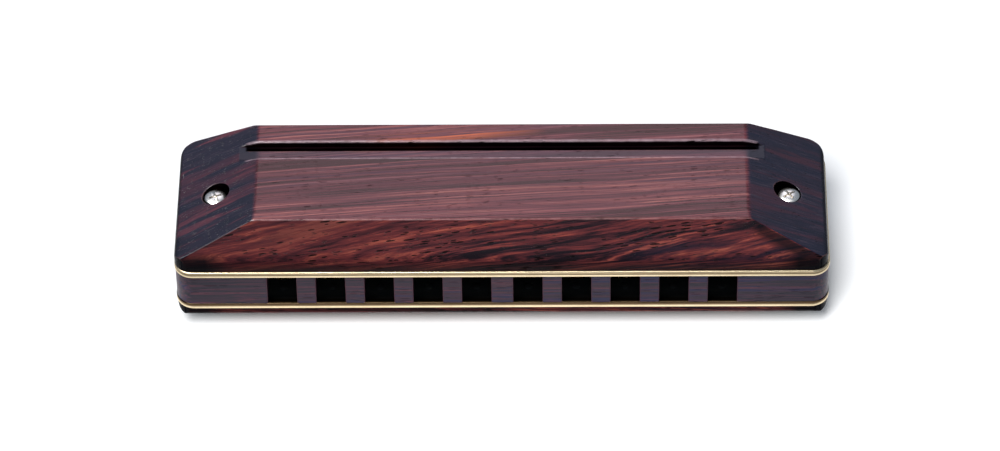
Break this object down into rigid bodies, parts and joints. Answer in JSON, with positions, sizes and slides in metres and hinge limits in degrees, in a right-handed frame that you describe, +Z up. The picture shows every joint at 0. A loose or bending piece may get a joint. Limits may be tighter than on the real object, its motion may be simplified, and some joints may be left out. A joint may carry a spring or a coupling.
{
  "type": "diatonic harmonica",
  "caption": "Diatonic mouth organ with bevelled rosewood covers, a slotted wooden comb between two brass reed plates, and riveted free reeds.",
  "frame": {"origin": "centre of the underside of the lower cover, where the harmonica rests", "axes": "+X along the note row from the low notes to the high notes, -Y out of the mouth side, +Z up through the upper cover"},
  "size_m": [0.101, 0.0262, 0.0203],
  "materials": {
    "cover_wood": "oiled rosewood, red-brown with blue-black streaks, satin polish",
    "comb_wood": "dark purple-brown hardwood, sealed, satin",
    "plate_brass": "rolled brass sheet, polished edges",
    "reed_brass": "filed brass, fine lengthwise scratches",
    "rivet_brass": "turned brass",
    "nickel": "bright nickel plate",
    "steel": "zinc-plated steel"
  },
  "bodies": {
    "body": {"comb": "comb_wood", "blow_reed_plate": "plate_brass", "draw_reed_plate": "plate_brass", "top_cover": "cover_wood", "bottom_cover": "cover_wood", "cover_screw_left": "nickel", "cover_screw_right": "nickel", "cover_nut_left": "nickel", "cover_nut_right": "nickel", "plate_screw_1": "steel", "plate_screw_2": "steel", "plate_screw_3": "steel", "plate_screw_4": "steel", "plate_screw_5": "steel", "plate_screw_6": "steel", "blow_rivet_1": "rivet_brass", "blow_rivet_2": "rivet_brass", "blow_rivet_3": "rivet_brass", "blow_rivet_4": "rivet_brass", "blow_rivet_5": "rivet_brass", "blow_rivet_6": "rivet_brass", "blow_rivet_7": "rivet_brass", "blow_rivet_8": "rivet_brass", "blow_rivet_9": "rivet_brass", "blow_rivet_10": "rivet_brass", "draw_rivet_1": "rivet_brass", "draw_rivet_2": "rivet_brass", "draw_rivet_3": "rivet_brass", "draw_rivet_4": "rivet_brass", "draw_rivet_5": "rivet_brass", "draw_rivet_6": "rivet_brass", "draw_rivet_7": "rivet_brass", "draw_rivet_8": "rivet_brass", "draw_rivet_9": "rivet_brass", "draw_rivet_10": "rivet_brass"},
    "blow_reed_1": {"blow_reed_1": "reed_brass"},
    "blow_reed_2": {"blow_reed_2": "reed_brass"},
    "blow_reed_3": {"blow_reed_3": "reed_brass"},
    "blow_reed_4": {"blow_reed_4": "reed_brass"},
    "blow_reed_5": {"blow_reed_5": "reed_brass"},
    "blow_reed_6": {"blow_reed_6": "reed_brass"},
    "blow_reed_7": {"blow_reed_7": "reed_brass"},
    "blow_reed_8": {"blow_reed_8": "reed_brass"},
    "blow_reed_9": {"blow_reed_9": "reed_brass"},
    "blow_reed_10": {"blow_reed_10": "reed_brass"},
    "draw_reed_1": {"draw_reed_1": "reed_brass"},
    "draw_reed_2": {"draw_reed_2": "reed_brass"},
    "draw_reed_3": {"draw_reed_3": "reed_brass"},
    "draw_reed_4": {"draw_reed_4": "reed_brass"},
    "draw_reed_5": {"draw_reed_5": "reed_brass"},
    "draw_reed_6": {"draw_reed_6": "reed_brass"},
    "draw_reed_7": {"draw_reed_7": "reed_brass"},
    "draw_reed_8": {"draw_reed_8": "reed_brass"},
    "draw_reed_9": {"draw_reed_9": "reed_brass"},
    "draw_reed_10": {"draw_reed_10": "reed_brass"}
  },
  "joints": [
    {"name": "blow_reed_1_bend", "type": "hinge", "parent": "body", "child": "blow_reed_1", "pos_m": [-0.03395, -0.00953, 0.01243], "axis": [1, 0, 0], "range_deg": [-3.5, 3.5], "stiffness_Nm_per_rad": 0.00106},
    {"name": "blow_reed_2_bend", "type": "hinge", "parent": "body", "child": "blow_reed_2", "pos_m": [-0.02645, -0.00953, 0.01243], "axis": [1, 0, 0], "range_deg": [-3.33, 3.33], "stiffness_Nm_per_rad": 0.000887},
    {"name": "blow_reed_3_bend", "type": "hinge", "parent": "body", "child": "blow_reed_3", "pos_m": [-0.01895, -0.00953, 0.01244], "axis": [1, 0, 0], "range_deg": [-3.17, 3.17], "stiffness_Nm_per_rad": 0.000736},
    {"name": "blow_reed_4_bend", "type": "hinge", "parent": "body", "child": "blow_reed_4", "pos_m": [-0.01145, -0.00953, 0.01244], "axis": [1, 0, 0], "range_deg": [-3, 3], "stiffness_Nm_per_rad": 0.000606},
    {"name": "blow_reed_5_bend", "type": "hinge", "parent": "body", "child": "blow_reed_5", "pos_m": [-0.00395, -0.00953, 0.01245], "axis": [1, 0, 0], "range_deg": [-2.83, 2.83], "stiffness_Nm_per_rad": 0.000495},
    {"name": "blow_reed_6_bend", "type": "hinge", "parent": "body", "child": "blow_reed_6", "pos_m": [0.00395, -0.00953, 0.01245], "axis": [1, 0, 0], "range_deg": [-2.67, 2.67], "stiffness_Nm_per_rad": 0.0004},
    {"name": "blow_reed_7_bend", "type": "hinge", "parent": "body", "child": "blow_reed_7", "pos_m": [0.01145, -0.00953, 0.01246], "axis": [1, 0, 0], "range_deg": [-2.5, 2.5], "stiffness_Nm_per_rad": 0.00032},
    {"name": "blow_reed_8_bend", "type": "hinge", "parent": "body", "child": "blow_reed_8", "pos_m": [0.01895, -0.00953, 0.01246], "axis": [1, 0, 0], "range_deg": [-2.33, 2.33], "stiffness_Nm_per_rad": 0.000253},
    {"name": "blow_reed_9_bend", "type": "hinge", "parent": "body", "child": "blow_reed_9", "pos_m": [0.02645, -0.00953, 0.01247], "axis": [1, 0, 0], "range_deg": [-2.17, 2.17], "stiffness_Nm_per_rad": 0.000198},
    {"name": "blow_reed_10_bend", "type": "hinge", "parent": "body", "child": "blow_reed_10", "pos_m": [0.03395, -0.00953, 0.01247], "axis": [1, 0, 0], "range_deg": [-2, 2], "stiffness_Nm_per_rad": 0.000152},
    {"name": "draw_reed_1_bend", "type": "hinge", "parent": "body", "child": "draw_reed_1", "pos_m": [-0.03395, -0.00953, 0.00568], "axis": [1, 0, 0], "range_deg": [-3.5, 3.5], "stiffness_Nm_per_rad": 0.00106},
    {"name": "draw_reed_2_bend", "type": "hinge", "parent": "body", "child": "draw_reed_2", "pos_m": [-0.02645, -0.00953, 0.00568], "axis": [1, 0, 0], "range_deg": [-3.33, 3.33], "stiffness_Nm_per_rad": 0.000887},
    {"name": "draw_reed_3_bend", "type": "hinge", "parent": "body", "child": "draw_reed_3", "pos_m": [-0.01895, -0.00953, 0.00569], "axis": [1, 0, 0], "range_deg": [-3.17, 3.17], "stiffness_Nm_per_rad": 0.000736},
    {"name": "draw_reed_4_bend", "type": "hinge", "parent": "body", "child": "draw_reed_4", "pos_m": [-0.01145, -0.00953, 0.00569], "axis": [1, 0, 0], "range_deg": [-3, 3], "stiffness_Nm_per_rad": 0.000606},
    {"name": "draw_reed_5_bend", "type": "hinge", "parent": "body", "child": "draw_reed_5", "pos_m": [-0.00395, -0.00953, 0.0057], "axis": [1, 0, 0], "range_deg": [-2.83, 2.83], "stiffness_Nm_per_rad": 0.000495},
    {"name": "draw_reed_6_bend", "type": "hinge", "parent": "body", "child": "draw_reed_6", "pos_m": [0.00395, -0.00953, 0.0057], "axis": [1, 0, 0], "range_deg": [-2.67, 2.67], "stiffness_Nm_per_rad": 0.0004},
    {"name": "draw_reed_7_bend", "type": "hinge", "parent": "body", "child": "draw_reed_7", "pos_m": [0.01145, -0.00953, 0.00571], "axis": [1, 0, 0], "range_deg": [-2.5, 2.5], "stiffness_Nm_per_rad": 0.00032},
    {"name": "draw_reed_8_bend", "type": "hinge", "parent": "body", "child": "draw_reed_8", "pos_m": [0.01895, -0.00953, 0.00571], "axis": [1, 0, 0], "range_deg": [-2.33, 2.33], "stiffness_Nm_per_rad": 0.000253},
    {"name": "draw_reed_9_bend", "type": "hinge", "parent": "body", "child": "draw_reed_9", "pos_m": [0.02645, -0.00953, 0.00572], "axis": [1, 0, 0], "range_deg": [-2.17, 2.17], "stiffness_Nm_per_rad": 0.000198},
    {"name": "draw_reed_10_bend", "type": "hinge", "parent": "body", "child": "draw_reed_10", "pos_m": [0.03395, -0.00953, 0.00572], "axis": [1, 0, 0], "range_deg": [-2, 2], "stiffness_Nm_per_rad": 0.000152}
  ]
}
